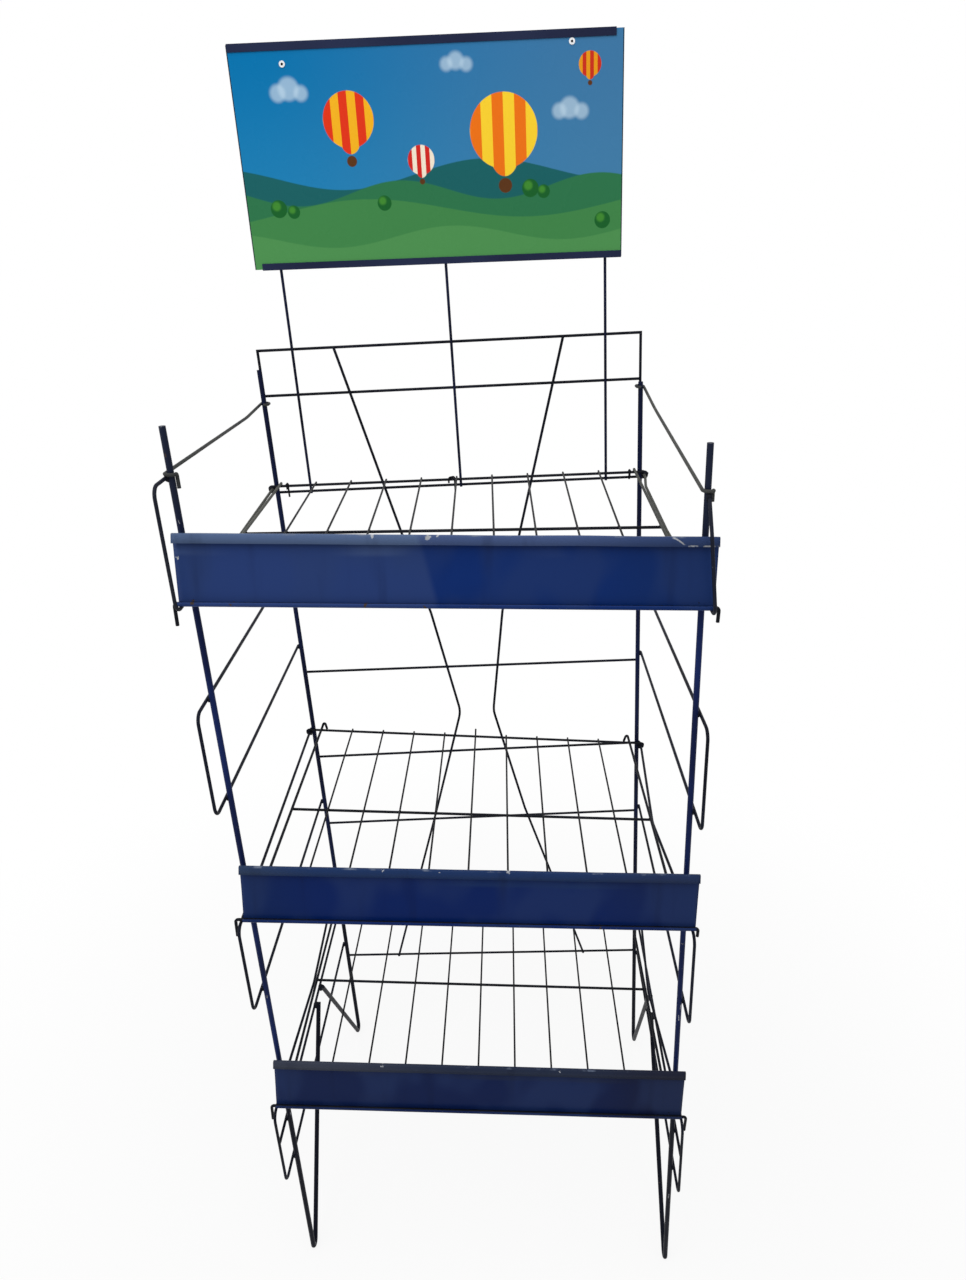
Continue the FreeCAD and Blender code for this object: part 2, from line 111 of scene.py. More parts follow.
def wire_paint(name, colour, light_colour, wear, gloss=0.42, changes=()):
    """Thin dipped paint on round wire: patchy, with small chips. Wear is 0 for few, 1 for many.
    Each change is an axis, where along it the coat starts and ends to differ, and its colour."""
    paint = Finish(name)
    along = paint.stretched((1.0, 1.0, 0.35))
    patches = paint.step(paint.mottle(9.0), 0.35, 0.65)
    coat = paint.mix(patches, colour, light_colour)
    for axis, start, end, there in changes:
        far = paint.node("ShaderNodeSeparateXYZ", {0: paint.place}).outputs[axis]
        ragged = paint.sum("ADD", far, paint.sum("MULTIPLY", paint.mottle(30.0), 0.05))
        coat = paint.mix(paint.step(ragged, start + 0.025, end + 0.025), coat, there)
    spots_from = 0.80 - 0.19 * wear
    bald_from = 0.52 - 0.12 * wear
    spots = paint.step(paint.mottle(260.0, 3.0, along), spots_from, spots_from + 0.03)
    bald = paint.step(paint.mottle(13.0, 2.0, along), bald_from, bald_from + 0.08)
    chips = paint.sum("MULTIPLY", spots, bald)
    under = paint.mix(paint.step(paint.mottle(75.0), 0.45, 0.6), pale_primer, bare_steel)
    under = paint.mix(paint.step(paint.mottle(40.0), 0.56, 0.62), under, rust)
    paint.feed(paint.shader.inputs["Base Color"], paint.mix(chips, coat, under))
    dulled = paint.sum("MULTIPLY", paint.mottle(120.0), 0.25)
    paint.feed(paint.shader.inputs["Roughness"], paint.sum("ADD", dulled, gloss - 0.1))
    height = paint.sum("SUBTRACT", paint.sum("MULTIPLY", paint.mottle(450.0), 0.35), chips)
    paint.relief(height, wire_paint_thick)
    paint.shader.inputs["Specular IOR Level"].default_value = wire_specular
    return paint.material


def coat_with(material, *names):
    """Give CAD pieces their finish."""
    for name in names:
        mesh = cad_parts[name].data
        mesh.materials.clear()
        mesh.materials.append(material)


dark_feet = ("Z", 0.42, 0.26, (0.003, 0.004, 0.010, 1))
dark_tops = ("Z", 1.00, 1.10, (0.010, 0.014, 0.032, 1))
front_post_paint = wire_paint("front_post_paint", (0.004, 0.009, 0.048, 1), (0.007, 0.018, 0.095, 1),
                              0.62, changes=[dark_feet, dark_tops])
rear_post_paint = wire_paint("rear_post_paint", (0.003, 0.005, 0.022, 1), (0.005, 0.010, 0.045, 1),
                             0.1, changes=[dark_feet])
coat_with(front_post_paint, "post_front_left", "post_front_right")
coat_with(rear_post_paint, "post_rear_left", "post_rear_right")

# The side hoops and foot rails are thinner wire, bent cold and welded outside the posts.
# Their paint is nearly black, and rubbed where shelves were hung on and taken off.
hoop_paint = wire_paint("hoop_paint", (0.003, 0.004, 0.009, 1), (0.006, 0.008, 0.018, 1), 0.1)
rubbed_lengths = ("Y", -0.17, -0.13, (0.070, 0.072, 0.064, 1))
worn_hoop_paint = wire_paint("worn_hoop_paint", (0.008, 0.010, 0.020, 1), (0.016, 0.018, 0.026, 1),
                             0.3, 0.5, [rubbed_lengths])
levels = ("top", "upper", "middle", "lower")
for side in ("left", "right"):
    coat_with(hoop_paint, *(level + "_hoop_" + side for level in levels[1:]))
coat_with(hoop_paint, "foot_rail_left", "foot_rail_right")
coat_with(worn_hoop_paint, "top_hoop_left", "top_hoop_right")

# The wires of the side frames are held by resistance welds, which leave a small blob of
# burnt metal at each crossing, painted over with the rest.
half_spacing = 0.250
post_depth = 0.400
lean_front = math.radians(3.56)
lean_rear = math.radians(4.33)
rod_r = 0.0032
wire_r = 0.0018
weld_gap = 0.00015
post_to_wire = rod_r + wire_r + weld_gap
wire_to_wire = 2 * wire_r + weld_gap
hoop_reach = 0.038
hoop_rear_back = 0.404
hoop_height = 0.121
hoop_low = {"top": 0.994, "upper": 0.762, "middle": 0.489, "lower": 0.194}
hoop_slip = {
    "top_left_lower_rear": 0.008,
    "top_right_lower_front": 0.012,
    "top_right_lower_rear": 0.045,
    "upper_right_lower_rear": 0.007,
    "middle_left_upper_front": 0.001,
    "middle_left_upper_rear": 0.010,
    "middle_right_lower_rear": 0.009,
    "middle_right_upper_front": 0.009,
    "middle_right_upper_rear": 0.004,
    "lower_left_upper_rear": 0.002,
    "lower_right_lower_rear": 0.002,
    "lower_right_upper_front": 0.003,
    "lower_right_upper_rear": 0.003,
}
sides = {"left": -1, "right": 1}


def side_point(side, back, up, out=0.0):
    """A point of a side frame: back from the front post, up the posts, out from their plane."""
    lean = lean_front + (lean_rear - lean_front) * back / post_depth
    return Vector((side * (half_spacing + out) - math.sin(lean) * up, back - post_depth / 2,
                   math.cos(lean) * up))


def hoop_point(name, level, wire, back):
    """A point on the axis of a hoop's lower or upper wire."""
    ups = [hoop_low[level] + (hoop_height if wire == "upper" else 0.0)
           + hoop_slip.get("_".join([level, name, wire, end]), 0.0) for end in ("front", "rear")]
    share = (back + hoop_reach) / (hoop_rear_back + hoop_reach)
    front = side_point(sides[name], -hoop_reach, ups[0], post_to_wire)
    rear = side_point(sides[name], hoop_rear_back, ups[1], post_to_wire)
    return front.lerp(rear, share)


class Knots:
    """The weld blobs of one group of wires, as one piece."""

    def __init__(self, name):
        self.name = name
        self.mesh = bmesh.new()

    def add(self, place, size, along=Vector((0, 0, 1)), drawn_out=1.35):
        """One blob, drawn out along one direction and a little uneven."""
        made = bmesh.ops.create_icosphere(self.mesh, subdivisions=2, radius=size)
        turn = Vector((0, 0, 1)).rotation_difference(along.normalized()).to_matrix()
        for vert in made["verts"]:
            bump = 1 + 0.22 * noise.noise(vert.co * (0.9 / size) + place * 90)
            vert.co = place + turn @ (Vector((vert.co.x, vert.co.y, vert.co.z * drawn_out)) * bump)

    def finish(self, material):
        """Make the object and put it on the stand."""
        data = bpy.data.meshes.new(self.name)
        for face in self.mesh.faces:
            face.smooth = True
        self.mesh.to_mesh(data)
        self.mesh.free()
        data.materials.append(material)
        piece = bpy.data.objects.new(self.name, data)
        bpy.context.scene.collection.objects.link(piece)
        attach(piece, "root")


knot_paint = wire_paint("knot_paint", (0.003, 0.004, 0.009, 1), (0.012, 0.013, 0.018, 1), 0.2, 0.55)
foot_rail_up = 0.265
toe_backs = (0.192, 0.228)
toe_lift = 0.001
toe_sink = 0.0006
right_hoop_end = (-0.0040, 1.113, 0.0009)
plain_knot = 0.0029
carrying_knot = 0.0036
hoop_end_knot = 0.0034
foot_rail_knot = 0.0027
toe_knot = 0.0042
carried = (("top", "lower"), ("middle", "upper"), ("lower", "upper"))
for name, side in sides.items():
    knots = Knots("side_frame_knots_" + name)
    up_post = (side_point(side, 0, 1) - side_point(side, 0, 0)).normalized()
    inward = Vector((-side, 0, 0))
    for level in levels:
        wires = ("lower",) if level == "top" else ("lower", "upper")
        for wire in wires:
            rear_knot = carrying_knot if (level, wire) in carried else plain_knot
            for back, size in ((0.0, plain_knot), (post_depth, rear_knot)):
                knots.add(hoop_point(name, level, wire, back) + inward * wire_r, size, up_post)
    if name == "left":
        top_up = hoop_low["top"] + hoop_height
        knots.add(side_point(side, 0.0, top_up, post_to_wire - wire_r), carrying_knot, up_post)
    else:
        knots.add(side_point(side, *right_hoop_end), hoop_end_knot, up_post)
    for back in (0.0, post_depth):
        foot_weld = side_point(side, back, foot_rail_up, post_to_wire - wire_r)
        knots.add(foot_weld, foot_rail_knot, up_post)
    for back in toe_backs:
        toe_weld = side_point(side, back, foot_rail_up + toe_lift, rod_r - toe_sink)
        knots.add(toe_weld, toe_knot, up_post, 1.5)
    knots.finish(knot_paint)

# Each top brace is a wire with an open eye bent round each post. The eyes have rubbed on
# the posts, so they are greyer than the rest of the wire.
brace_paint = wire_paint("brace_paint", (0.030, 0.032, 0.034, 1), (0.055, 0.056, 0.052, 1), 0.3, 0.5)
coat_with(brace_paint, "top_brace_left", "top_brace_right")

# The rear panel is a ladder of straight wires across two side wires, with two curved wires
# that draw together at its waist. Each crossing is one small weld.
panel_paint = wire_paint("panel_paint", (0.0028, 0.0036, 0.007, 1), (0.005, 0.006, 0.013, 1), 0.0)
coat_with(panel_paint, *("panel_bar_" + str(number) for number in range(1, 8)))
coat_with(panel_paint, *(wire + side for wire in ("panel_side_", "panel_curve_") for side in sides))
panel_width = 2 * half_spacing * math.cos(lean_rear)
bar_up = (1.183, 1.125, 0.994, 0.716, 0.567, 0.441, 0.162)
bar_rise = (0.0, 0.0, 0.0, 0.0, 0.006, 0.006, -0.006)
curve_ups = (1.183, 0.805, 0.641, 0.462, 0.159)
curve_insets = {
    "left": (0.100, 0.197, 0.229, 0.178, 0.088),
    "right": (0.100, 0.197, 0.219, 0.178, 0.088),
}
post_welds_up = (1.110, 0.716, 0.300)
upright_reach = 0.2037
upright_shift = 0.0045
bars_under_uprights = 3
bar_knot = 0.0019
post_weld_knot = 0.0024


def panel_point(across, up, behind):
    """A point of the rear panel, across from the left rear post and up along it."""
    foot = side_point(-1, post_depth, 0.0)
    turn = Matrix.Rotation(-lean_rear, 3, "Y")
    return foot + turn @ Vector((across, behind, up))


def curve_across(name, up):
    """Where a curved wire is at a height."""
    insets = curve_insets[name]
    for place in range(len(curve_ups) - 1):
        high, low = curve_ups[place], curve_ups[place + 1]
        if up >= low:
            break
    share = (high - up) / (high - low)
    inset = insets[place] + (insets[place + 1] - insets[place]) * share
    return inset if name == "left" else panel_width - inset


upright_across = [panel_width / 2 + aside for aside in (-upright_reach, upright_shift, upright_reach)]
knots = Knots("panel_knots")
for number, (left_up, rise) in enumerate(zip(bar_up, bar_rise)):
    places = [0.0, panel_width, curve_across("left", left_up), curve_across("right", left_up)]
    if number < bars_under_uprights:
        places += upright_across
    for across in places:
        up = left_up + rise * across / panel_width
        crossing = panel_point(across, up, post_to_wire + wire_to_wire / 2)
        knots.add(crossing, bar_knot, Vector((0, 1, 0)), 1.2)
for across in (0.0, panel_width):
    for up in post_welds_up:
        knots.add(panel_point(across, up, post_to_wire - wire_r), post_weld_knot)
knots.finish(knot_paint)

# Three straight uprights of the same wire are welded to the panel's top bars, and carry the
# sign above the stand.
upright_paint = wire_paint("upright_paint", (0.003, 0.004, 0.012, 1), (0.006, 0.009, 0.032, 1), 0.05)
coat_with(upright_paint, "header_upright_left", "header_upright_middle", "header_upright_right")

# The sign's two rails are U channels of thin sheet, painted navy and welded to the uprights.
# The board's long edges sit in them.
def sheet_paint(name, colour, light_colour):
    """Sprayed paint on sheet: smoother than on wire, and a little patchy."""
    paint = Finish(name)
    patches = paint.step(paint.mottle(7.0), 0.3, 0.7)
    return paint, paint.mix(patches, colour, light_colour)


def finish_sheet(paint, coat, gloss, chips=0.0):
    """The rest of a sheet paint, once its colour is worked out."""
    paint.feed(paint.shader.inputs["Base Color"], coat)
    dulled = paint.sum("MULTIPLY", paint.mottle(55.0, 3.0), 0.16)
    paint.feed(paint.shader.inputs["Roughness"], paint.sum("ADD", dulled, gloss))
    peel = paint.sum("MULTIPLY", paint.mottle(320.0), 0.3)
    paint.relief(paint.sum("SUBTRACT", peel, chips), sheet_paint_thick)
    paint.shader.inputs["Specular IOR Level"].default_value = sheet_specular
    return paint.material


sheet_paint_thick = 0.00012
sheet_specular = 0.06
rail_paint, rail_coat = sheet_paint("sign_rail_paint", (0.012, 0.016, 0.044, 1),
                                    (0.018, 0.026, 0.066, 1))
coat_with(finish_sheet(rail_paint, rail_coat, 0.30), "sign_top_rail", "sign_bottom_rail")

# The sign is a stiff plastic board with a glossy print on its front: sky, clouds and hills,
# with striped balloons. It is held in the two rails and by two eyelets.
board_low, board_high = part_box("sign_board")
board_turn = math.radians(-3.63)
print_depth = 0.0004
board_half = 0.229
edge_line = (0.0016, 0.0009)
high_sky = (0.0002, 0.155, 0.38, 1)
low_sky = (0.012, 0.20, 0.43, 1)
hazy_sky = (0.100, 0.190, 0.30, 1)
cloud_white = (0.50, 0.66, 0.78, 1)
leaf_green = (0.010, 0.11, 0.022, 1)
sunlit_leaf = (0.05, 0.24, 0.03, 1)
basket_brown = (0.10, 0.035, 0.010, 1)
cut_edge = (0.012, 0.020, 0.030, 1)
bare_board = (0.10, 0.11, 0.12, 1)
art = Finish("board_print")
board_middle = (board_low + board_high) / 2
local = art.node("ShaderNodeMapping", {
    "Vector": art.place, "Location": board_middle,
    "Rotation": (0, board_turn, 0)}, vector_type="TEXTURE").outputs[0]
split = art.node("ShaderNodeSeparateXYZ", {0: local})
across, up = split.outputs["X"], split.outputs["Z"]
edge_soft = 0.0005


def inside(distance, soft=edge_soft):
    """1 where a distance to an outline is below 0."""
    return art.step(art.sum("MULTIPLY", distance, -1.0), -soft, soft)


def disc(centre_across, centre_up, radius, squeeze=1.0):
    """The signed distance to a round shape, which a squeeze under 1 makes tall."""
    dx = art.sum("DIVIDE", art.sum("SUBTRACT", across, centre_across), squeeze)
    dz = art.sum("SUBTRACT", up, centre_up)
    offset = art.node("ShaderNodeCombineXYZ", {0: dx, 1: dz}).outputs[0]
    length = art.node("ShaderNodeVectorMath", {0: offset}, operation="LENGTH").outputs["Value"]
    return art.sum("SUBTRACT", length, radius)


def hill(top, swell, wave, shift):
    """The signed distance below a rolling skyline."""
    phase = art.sum("MULTIPLY", art.sum("ADD", across, shift), 2 * math.pi / wave)
    skyline = art.sum("ADD", art.sum("MULTIPLY", art.sum("SINE", phase), swell), top)
    return art.sum("SUBTRACT", up, skyline)


sky = art.mix(art.step(up, -0.06, 0.12), low_sky, high_sky)
picture = art.mix(art.step(across, -0.22, 0.25), sky, art.mix(0.45, sky, hazy_sky))
clouds = [
    (-0.175, 0.070, 0.009), (-0.162, 0.074, 0.012), (-0.148, 0.069, 0.008),
    (0.024, 0.092, 0.007), (0.035, 0.095, 0.009), (0.047, 0.091, 0.007),
    (0.154, 0.040, 0.008), (0.166, 0.043, 0.011), (0.180, 0.039, 0.008),
]
for centre_across, centre_up, radius in clouds:
    puff = art.sum("MULTIPLY", inside(disc(centre_across, centre_up, radius), 0.003), 0.55)
    picture = art.mix(puff, picture, cloud_white)
hills = [
    (hill(-0.020, 0.014, 0.33, 0.02), (0.010, 0.110, 0.115, 1)),
    (hill(-0.038, 0.012, 0.24, 0.10), (0.026, 0.165, 0.066, 1)),
    (hill(-0.058, 0.013, 0.41, 0.19), (0.050, 0.220, 0.064, 1)),
    (hill(-0.088, 0.010, 0.28, 0.05), (0.072, 0.265, 0.078, 1)),
]
for skyline, colour in hills:
    picture = art.mix(inside(skyline, 0.0008), picture, colour)
bushes = [
    (-0.190, -0.052, 0.0100), (-0.172, -0.056, 0.0075), (-0.060, -0.050, 0.0085),
    (0.118, -0.040, 0.0100), (0.134, -0.044, 0.0075), (0.205, -0.078, 0.0095),
]
for centre_across, centre_up, radius in bushes:
    picture = art.mix(inside(disc(centre_across, centre_up, radius)), picture, leaf_green)
    sunlit = disc(centre_across - radius * 0.25, centre_up + radius * 0.3, radius * 0.5)
    picture = art.mix(inside(sunlit, 0.002), picture, sunlit_leaf)
balloons = [
    (-0.095, 0.040, 0.030, (0.70, 0.035, 0.010, 1), (0.85, 0.42, 0.015, 1)),
    (0.088, 0.022, 0.040, (0.80, 0.16, 0.008, 1), (0.90, 0.60, 0.03, 1)),
    (-0.012, -0.005, 0.016, (0.60, 0.02, 0.015, 1), (0.85, 0.75, 0.60, 1)),
    (0.190, 0.086, 0.013, (0.75, 0.30, 0.01, 1), (0.55, 0.03, 0.012, 1)),
]
for centre_across, centre_up, radius, red, yellow in balloons:
    aside = art.sum("SUBTRACT", across, centre_across)
    stripes = art.sum("SINE", art.sum("MULTIPLY", aside, 9.5 / radius))
    cloth = art.mix(art.step(stripes, -0.08, 0.08), red, yellow)
    basket = art.sum("MAXIMUM", disc(centre_across, centre_up - radius * 1.45, radius * 0.20),
                     disc(centre_across, centre_up - radius * 1.42, radius * 0.26, 0.8))
    picture = art.mix(inside(basket), picture, basket_brown)
    skirt = disc(centre_across, centre_up - radius * 0.62, radius * 0.58, 0.72)
    envelope = art.sum("MINIMUM", disc(centre_across, centre_up, radius), skirt)
    picture = art.mix(inside(envelope), picture, cloth)
board_end = art.step(art.sum("ABSOLUTE", across), *(board_half - inset for inset in edge_line))
picture = art.mix(board_end, picture, cut_edge)
behind = art.step(art.node("ShaderNodeSeparateXYZ", {0: art.place}).outputs["Y"],
                  board_low.y + print_depth, board_low.y + print_depth + 0.0001)
picture = art.mix(behind, picture, bare_board)
art.feed(art.shader.inputs["Base Color"], picture)
smears = art.sum("MULTIPLY", art.mottle(16.0, 4.0), 0.22)
art.feed(art.shader.inputs["Roughness"], art.sum("ADD", smears, 0.16))
art.relief(art.mottle(14.0, 1.0), 0.0004)
art.shader.inputs["Specular IOR Level"].default_value = 0.06
coat_with(art.material, "sign_board")

# The two eyelets are plated metal, set through the board near its top corners. Each has a
# rolled flange, and its bore is painted near-black as shade in the hole.
plated = Finish("eyelet_metal")
tarnish = plated.step(plated.mottle(700.0, 3.0), 0.45, 0.70)
eyelet_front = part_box("sign_eyelets")[0].y
depth = plated.node("ShaderNodeSeparateXYZ", {0: plated.place}).outputs["Y"]
bore_shade_from = 0.0003
# The inside of the bore, behind the flange's front, is painted near-black: painted shade.
bore_shade = plated.step(depth, eyelet_front + bore_shade_from, eyelet_front + bore_shade_from + 0.0005)
plate = plated.mix(tarnish, (0.80, 0.81, 0.83, 1), (0.45, 0.45, 0.46, 1))
plated.feed(plated.shader.inputs["Base Color"], plated.mix(bore_shade, plate, (0.015, 0.015, 0.016, 1)))
dulled = plated.sum("MULTIPLY", tarnish, 0.2)
plated.feed(plated.shader.inputs["Roughness"], plated.sum("ADD", dulled, 0.22))
plated.relief(plated.mottle(1500.0), 0.00004)
plated.shader.inputs["Metallic"].default_value = 1.0
coat_with(plated.material, "sign_eyelets")

# Each shelf is three cross wires that hook over the hoops, with side wires and thinner grid
# wires welded on top. The top shelf has lost most of its paint on its side wires.
shelf_paint = wire_paint("shelf_paint", (0.003, 0.004, 0.007, 1), (0.007, 0.008, 0.013, 1), 0.05)
worn_shelf_paint = wire_paint("worn_shelf_paint", (0.055, 0.057, 0.052, 1),
                              (0.090, 0.092, 0.082, 1), 0.4, 0.5)
grid_paint = wire_paint("grid_paint", (0.0035, 0.004, 0.006, 1), (0.008, 0.009, 0.011, 1), 0.0)
for shelf in ("top", "middle", "bottom"):
    for wire in ("rear", "mid", "front"):
        coat_with(shelf_paint, shelf + "_shelf_" + wire + "_wire")
    coat_with(grid_paint, shelf + "_shelf_grid_wires")
    coat_with(worn_shelf_paint if shelf == "top" else shelf_paint, shelf + "_shelf_side_wires")
coat_with(grid_paint, "top_shelf_rear_hooks")

grid_r = 0.00125
front_wire_back = -0.026
mid_wire_back = 0.187
rear_wire_back = post_depth - post_to_wire
front_seat = 0.00485
rail_back_face = -0.022178
grid_wires = 9
rear_past = 0.0012
side_clear = 0.001
side_inset = 2 * post_to_wire + side_clear + math.tan(lean_rear) * 2 * wire_to_wire
hook_insets = (0.016, 0.242, 0.484)
front_end_lift = Vector((0, 0.0010, -0.0004))
hook_knot = 0.0030
under_hook_knot = 0.0024
top_hook_knot = 0.0019
drawn_in = {
    "top": ((0.001, 0.0015), (0.001, 0.0015)),
    "middle": ((0.0015, 0.003), (0.007, 0.0065)),
    "bottom": ((0.0, 0.004), (0.0, 0.0075)),
}
carriers = {"top": ("top", "lower"), "middle": ("middle", "upper"), "bottom": ("lower", "upper")}


def cross_frame(shelf, back):
    """The two points that carry a shelf at this distance back, and the ways along and square."""
    left, right = [hoop_point(name, *carriers[shelf], back) for name in ("left", "right")]
    along = (right - left).normalized()
    return left, right, along, Vector((-along.z, 0, along.x))


def lengthwise_end(shelf, share, radius, end):
    """The front end (0) or the rear end (1) of a lengthwise wire's axis."""
    back, seat = ((rail_back_face, front_seat), (rear_wire_back + rear_past, wire_to_wire))[end]
    left, right, along, square = cross_frame(shelf, back)
    left_inset, right_inset = (side_inset + shift for shift in drawn_in[shelf][end])
    reach = (right - left).length - left_inset - right_inset
    height = seat + wire_r + radius + weld_gap
    return left + along * (left_inset + reach * share) + square * height


for shelf in carriers:
    knots = Knots(shelf + "_shelf_knots")
    for number in range(grid_wires + 2):
        share = number / (grid_wires + 1)
        radius = wire_r if number in (0, grid_wires + 1) else grid_r
        front_end = lengthwise_end(shelf, share, radius, 0)
        rear_end = lengthwise_end(shelf, share, radius, 1)
        run = rear_end.y - front_end.y
        square = cross_frame(shelf, mid_wire_back)[3]
        knots.add(front_end + front_end_lift, radius + 0.0003, Vector((0, 1, 0)), 1.1)
        for back in (mid_wire_back, rear_wire_back):
            crossing = front_end.lerp(rear_end, (back - rail_back_face) / run)
            knots.add(crossing - square * (radius + 0.0001), radius + 0.0002, square, 1.05)
    left, right, along, square = cross_frame(shelf, rear_wire_back)
    if shelf == "top":
        for inset in hook_insets:
            on_rear_wire = left + along * (post_to_wire + inset) + square * (wire_to_wire + wire_r)
            knots.add(on_rear_wire, top_hook_knot, along, 1.3)
    for hooked, outward in ((left, -along), (right, along)):
        over = hooked + outward * wire_to_wire * 0.5 + square * wire_r
        under = hooked + outward * 0.001 - square * wire_to_wire * 0.8
        knots.add(over, hook_knot, along, 1.3)
        knots.add(under, under_hook_knot, along, 1.5)
    knots.finish(knot_paint)

# The price rails are sheet strips that lean back: a bead rolled round the shelf's front wire,
# a flat face for labels, and a lip folded forward. They are blue, dented and scuffed.
rail_width = {"top": 0.513, "middle": 0.510, "bottom": 0.510}
rail_tilt = math.radians(7.0)
rail_shift = {"top": 0.0, "middle": 0.003, "bottom": 0.0}
bead_r = 0.0025
sheet_t = 0.0008
rail_height = 0.071
face_top = rail_height - bead_r - sheet_t
hem_return = 0.002
lip_top, lip_reach, lip_fall = 0.0035, 0.0055, 0.0087
profile = [(-bead_r, hem_return), (-bead_r, -bead_r), (bead_r, -bead_r), (bead_r, face_top),
           (bead_r - lip_top, face_top), (bead_r - lip_reach, face_top - lip_fall)]
bead_round = bead_r - 0.0001
fold_r = 0.0012
fold_rounds = {1: bead_round, 2: bead_round, 3: fold_r, 4: fold_r}
rail_cuts = 119
face_rows = 15
same_place = 1e-6
sheet_wave = 0.0006
edge_wave = 0.0005
dents = {
    "top": [(0.005, 0.034, 0.010, 0.030, 0.0016), (0.030, 0.020, 0.045, 0.025, -0.0010)],
    "middle": [(-0.080, 0.030, 0.060, 0.030, 0.0007), (0.120, 0.040, 0.050, 0.020, -0.0006)],
    "bottom": [(0.060, 0.030, 0.050, 0.030, 0.0007), (-0.130, 0.020, 0.060, 0.020, -0.0005)],
}
chips = {
    "top": [(-0.067, 0.067, 0.0045), (-0.015, 0.066, 0.0060), (-0.006, 0.067, 0.0035),
            (-0.254, 0.044, 0.0035), (-0.075, -0.001, 0.0050), (-0.020, -0.001, 0.0030),
            (-0.242, 0.001, 0.0035), (-0.205, 0.0, 0.0040)],
    "middle": [(-0.092, 0.067, 0.0030), (-0.030, 0.066, 0.0028), (0.046, 0.068, 0.0045),
               (0.150, -0.001, 0.0030)],
    "bottom": [(-0.120, 0.067, 0.0025), (0.100, 0.066, 0.0030), (0.030, -0.001, 0.0030)],
}


def rail_place(shelf):
    """Where a rail's own X, Y and Z lie on the stand."""
    left, right, along, square = cross_frame(shelf, front_wire_back)
    level_with_hoops = Matrix.Rotation(-math.atan2(along.z, along.x), 4, "Y")
    leaning_back = Matrix.Rotation(-rail_tilt, 4, "X")
    seat = Matrix.Translation((left + right) / 2 + square * front_seat)
    return seat @ (level_with_hoops @ leaning_back)


def rail_mesh(shelf):
    """A strip folded along its profile, with its face pushed in and out a little."""
    strip = bmesh.new()
    start = rail_shift[shelf] - rail_width[shelf] / 2
    corners = [strip.verts.new((start, y, z)) for y, z in profile]
    edges = [strip.edges.new(pair) for pair in zip(corners, corners[1:])]
    swept = bmesh.ops.extrude_edge_only(strip, edges=edges)["geom"]
    far_end = [part for part in swept if isinstance(part, bmesh.types.BMVert)]
    bmesh.ops.translate(strip, vec=(rail_width[shelf], 0, 0), verts=far_end)
    for number, radius in fold_rounds.items():
        corner = Vector(profile[number])
        before, after = Vector(profile[number - 1]), Vector(profile[number + 1])
        opening = (before - corner).angle(after - corner)
        fold = [edge for edge in strip.edges
                if all((vert.co.yz - corner).length < same_place for vert in edge.verts)]
        bmesh.ops.bevel(strip, geom=fold, offset=radius / math.tan(opening / 2), affect="EDGES",
                        offset_type="OFFSET", segments=6, profile=0.5, material=-1)
    across_face = [edge for edge in strip.edges if edge.calc_length() > face_top / 2
                   and abs(edge.verts[0].co.x - edge.verts[1].co.x) < same_place]
    bmesh.ops.subdivide_edges(strip, edges=across_face, cuts=face_rows, use_grid_fill=True)
    lengthwise = [edge for edge in strip.edges
                  if abs(edge.verts[0].co.x - edge.verts[1].co.x) > rail_width[shelf] / 2]
    bmesh.ops.subdivide_edges(strip, edges=lengthwise, cuts=rail_cuts, use_grid_fill=True)
    for vert in strip.verts:
        x, z = vert.co.x, vert.co.z
        held = math.sin(math.pi * min(max(z / face_top, 0.0), 1.0))
        push = sheet_wave * noise.noise(Vector((x * 9, z * 14, len(shelf)))) * (0.4 + held)
        for dent_x, dent_z, wide, tall, depth in dents[shelf]:
            far = math.hypot((x - dent_x) / wide, (z - dent_z) / tall)
            push += depth * held * max(0.0, 1 - far) ** 2
        vert.co.y += push
        vert.co.z += edge_wave * noise.noise(Vector((x * 12, 3.0, len(shelf)))) * (z / face_top)
    return strip


# The first colour is the lighter blue of the painted diagonal reflections on the rails' faces.
reflection_blue = (0.020, 0.040, 0.120, 1)
streak_black = (0.002, 0.004, 0.020, 1)
scuffed_blue = (0.12, 0.15, 0.22, 1)
scrape_from, scrape_to = 0.212, 0.228


